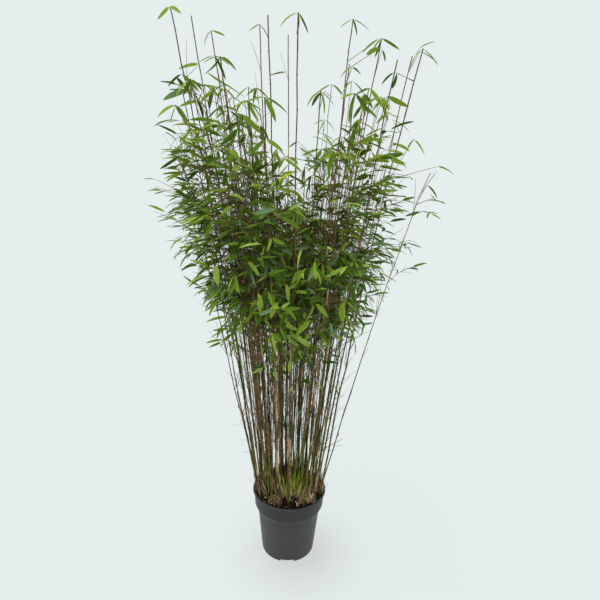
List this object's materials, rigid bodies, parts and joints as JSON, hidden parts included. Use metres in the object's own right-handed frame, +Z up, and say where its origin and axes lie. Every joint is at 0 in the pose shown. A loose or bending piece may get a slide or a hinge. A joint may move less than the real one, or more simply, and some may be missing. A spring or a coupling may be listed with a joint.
{
  "type": "potted bamboo",
  "caption": "Clump-forming bamboo in a round tapered nursery pot: thin leaning canes rise from the soil to a leafy crown that is open in the middle, with bare cane tips above it.",
  "frame": {"origin": "middle of the pot's flat underside", "axes": "+Z up, along the plant's height; +X to the right and -Y towards the viewer in the front view"},
  "size_m": [1.0111, 0.8269, 1.9502],
  "materials": {
    "pot_plastic": "satin",
    "potting_mix": "matte",
    "cane": "satin",
    "leaf": "satin"
  },
  "bodies": {
    "root": {"pot": "pot_plastic", "root_ball": "potting_mix", "tall_cane_01": "cane", "tall_cane_02": "cane", "tall_cane_03": "cane", "tall_cane_04": "cane", "tall_cane_05": "cane", "tall_cane_06": "cane", "tall_cane_07": "cane", "tall_cane_08": "cane", "tall_cane_09": "cane", "tall_cane_10": "cane", "tall_cane_11": "cane", "tall_cane_12": "cane", "tall_cane_13": "cane", "tall_cane_14": "cane", "tall_cane_15": "cane", "tall_cane_16": "cane", "tall_cane_17": "cane", "tall_cane_18": "cane", "leafy_cane_01": "cane", "leafy_cane_02": "cane", "leafy_cane_03": "cane", "leafy_cane_04": "cane", "leafy_cane_05": "cane", "leafy_cane_06": "cane", "leafy_cane_07": "cane", "leafy_cane_08": "cane", "leafy_cane_09": "cane", "leafy_cane_10": "cane", "leafy_cane_11": "cane", "leafy_cane_12": "cane", "leafy_cane_13": "cane", "leafy_cane_14": "cane", "leafy_cane_15": "cane", "leafy_cane_16": "cane", "leafy_cane_17": "cane", "leafy_cane_18": "cane", "outlying_cane": "cane", "foliage_01": "leaf", "foliage_02": "leaf", "foliage_03": "leaf", "foliage_04": "leaf", "foliage_05": "leaf", "foliage_06": "leaf", "foliage_07": "leaf", "foliage_08": "leaf", "foliage_09": "leaf", "foliage_10": "leaf", "foliage_11": "leaf", "foliage_12": "leaf", "foliage_13": "leaf", "foliage_14": "leaf", "foliage_15": "leaf", "foliage_16": "leaf", "foliage_17": "leaf", "foliage_18": "leaf", "foliage_19": "leaf"}
  },
  "joints": []
}
